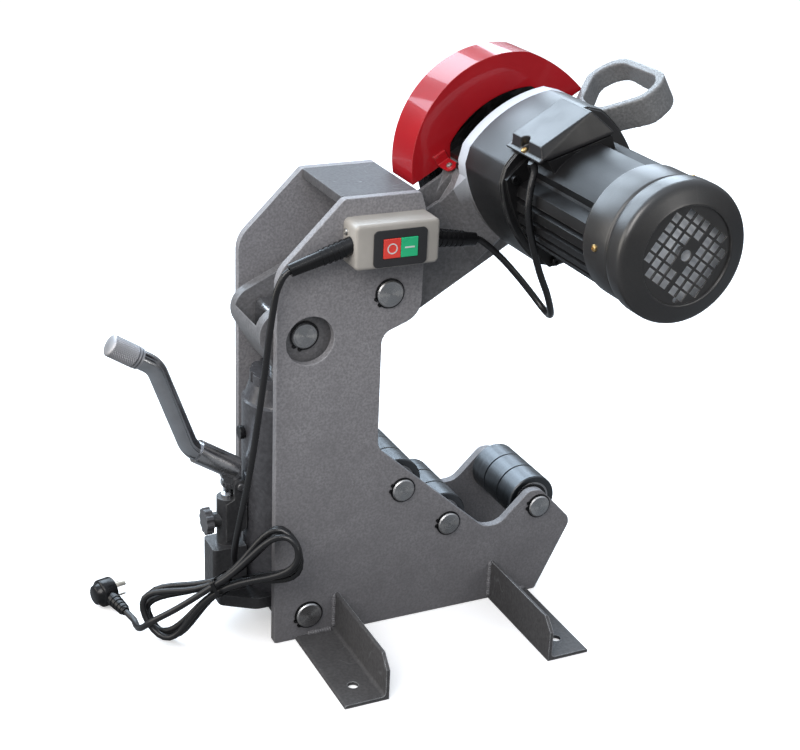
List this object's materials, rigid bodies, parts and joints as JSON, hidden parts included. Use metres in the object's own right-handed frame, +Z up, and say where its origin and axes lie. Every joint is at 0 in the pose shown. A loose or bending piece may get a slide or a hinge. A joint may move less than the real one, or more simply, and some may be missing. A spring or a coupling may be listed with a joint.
{
  "type": "electric pipe cutter",
  "caption": "Floor-standing pipe cutter: a hydraulic jack swings a motor-driven cutting wheel down on a pipe that turns on rollers between two steel side plates.",
  "frame": {"origin": "on the floor, at the centre of the four foot holes", "axes": "+X from the jack towards the rollers, +Z up, the motor on the -Y side"},
  "size_m": [0.7061, 0.666, 0.7524],
  "materials": {
    "plate_paint": "hammered grey paint",
    "cast_paint": "grey paint over casting skin",
    "turned_steel": "turned steel",
    "black_steel": "black oxide",
    "roller_steel": "dark satin steel",
    "bearing_steel": "ground steel",
    "bronze": "plain bronze",
    "guard_red": "gloss red paint",
    "motor_black": "satin black paint",
    "cover_black": "satin black paint",
    "black_plastic": "satin black",
    "fan_plastic": "pale plastic",
    "cutter_steel": "ground tool steel",
    "jack_black": "gloss black paint",
    "chrome_plate": "chrome plate",
    "knurled_steel": "knurled steel",
    "box_grey": "beige grey",
    "button_red": "red",
    "button_green": "green",
    "cord_rubber": "black sheath"
  },
  "bodies": {
    "frame": {"near_side_plate": "plate_paint", "far_side_plate": "plate_paint", "top_tie_plate": "plate_paint", "foot_rear_near": "plate_paint", "foot_rear_far": "plate_paint", "foot_front_near": "plate_paint", "foot_front_far": "plate_paint", "arm_pivot_pin": "turned_steel", "rear_roller_pin": "turned_steel", "middle_roller_pin": "turned_steel", "front_roller_pin": "turned_steel", "jack_base_pin": "turned_steel", "pin_circlips": "black_steel", "switch_box": "box_grey", "switch_bezel": "black_plastic", "switch_contact_block": "black_plastic", "mains_strain_relief": "black_plastic", "motor_strain_relief": "black_plastic", "motor_lead": "cord_rubber", "mains_cord_run": "cord_rubber", "mains_cord_hank": "cord_rubber", "cord_tie": "black_plastic", "mains_cord_tail": "cord_rubber", "mains_plug": "black_plastic", "jack_base": "jack_black", "jack_tank": "jack_black", "jack_cylinder": "turned_steel", "jack_gland_nut": "jack_black", "filler_plug": "black_plastic", "fulcrum_pin": "turned_steel"},
    "arm": {"swing_arm": "cast_paint", "pivot_bushes": "bronze", "lift_handle": "cast_paint", "ram_pin": "turned_steel", "ram_pin_circlips": "black_steel", "cutter_guard": "guard_red", "gear_housing": "motor_black", "motor_frame": "motor_black", "fan_cover": "cover_black", "terminal_cover": "black_plastic", "head_bearings": "bearing_steel"},
    "rotor": {"motor_rotor": "turned_steel", "cooling_fan": "fan_plastic"},
    "spindle": {"cutter_spindle": "turned_steel", "cutter_wheel": "cutter_steel", "cutter_nut": "cutter_steel"},
    "ram": {"jack_ram": "chrome_plate"},
    "handle": {"handle_rocker": "jack_black", "pump_handle": "chrome_plate", "handle_grip": "knurled_steel"},
    "plunger": {"pump_plunger": "chrome_plate"},
    "knob": {"release_knob": "jack_black"},
    "stop": {"stop_button": "button_red"},
    "start": {"start_button": "button_green"},
    "roller_a": {"rear_roller": "roller_steel", "rear_roller_bearings": "bearing_steel"},
    "roller_b": {"middle_roller": "roller_steel", "middle_roller_bearings": "bearing_steel"},
    "roller_c": {"front_roller": "roller_steel", "front_roller_bearings": "bearing_steel"}
  },
  "joints": [
    {"name": "arm_tilt", "type": "hinge", "parent": "frame", "child": "arm", "pos_m": [-0.056, 0, 0.474], "axis": [0, 1, 0], "range_deg": [0, 55], "deforming": ["motor_lead"]},
    {"name": "ram_slide", "type": "slide", "parent": "frame", "child": "ram", "axis": [0, 0, 1], "range_m": [0, 0.1075]},
    {"name": "rotor_spin", "type": "hinge", "parent": "arm", "child": "rotor", "pos_m": [0.1267, -0.26, 0.6169], "axis": [0, 1, 0], "continuous": true},
    {"name": "cutter_spin", "type": "hinge", "parent": "arm", "child": "spindle", "pos_m": [0.1267, 0, 0.6169], "axis": [0, 1, 0], "continuous": true},
    {"name": "pump_swing", "type": "hinge", "parent": "frame", "child": "handle", "pos_m": [-0.2285, 0, 0.208], "axis": [0, -1, 0], "range_deg": [0, 40]},
    {"name": "pump_stroke", "type": "slide", "parent": "frame", "child": "plunger", "axis": [0, 0, -1], "range_m": [0, 0.0095]},
    {"name": "release_turn", "type": "hinge", "parent": "frame", "child": "knob", "pos_m": [-0.269, 0, 0.158], "axis": [-1, 0, 0], "range_deg": [0, 270]},
    {"name": "stop_press", "type": "slide", "parent": "frame", "child": "stop", "axis": [0, 1, 0], "range_m": [0, 0.004], "stiffness_N_per_m": 600},
    {"name": "start_press", "type": "slide", "parent": "frame", "child": "start", "axis": [0, 1, 0], "range_m": [0, 0.004], "stiffness_N_per_m": 600},
    {"name": "rear_roller_spin", "type": "hinge", "parent": "frame", "child": "roller_a", "pos_m": [-0.026, 0, 0.196], "axis": [0, 1, 0], "continuous": true},
    {"name": "middle_roller_spin", "type": "hinge", "parent": "frame", "child": "roller_b", "pos_m": [0.044, 0, 0.133], "axis": [0, 1, 0], "continuous": true},
    {"name": "front_roller_spin", "type": "hinge", "parent": "frame", "child": "roller_c", "pos_m": [0.183, 0, 0.133], "axis": [0, 1, 0], "continuous": true}
  ],
  "couplings": [
    {"joint": "ram_slide", "follows": "arm_tilt", "m_per_rad": 0.11095},
    {"joint": "cutter_spin", "follows": "rotor_spin", "ratio": 0.028571},
    {"joint": "pump_stroke", "follows": "pump_swing", "m_per_rad": 0.013227}
  ]
}
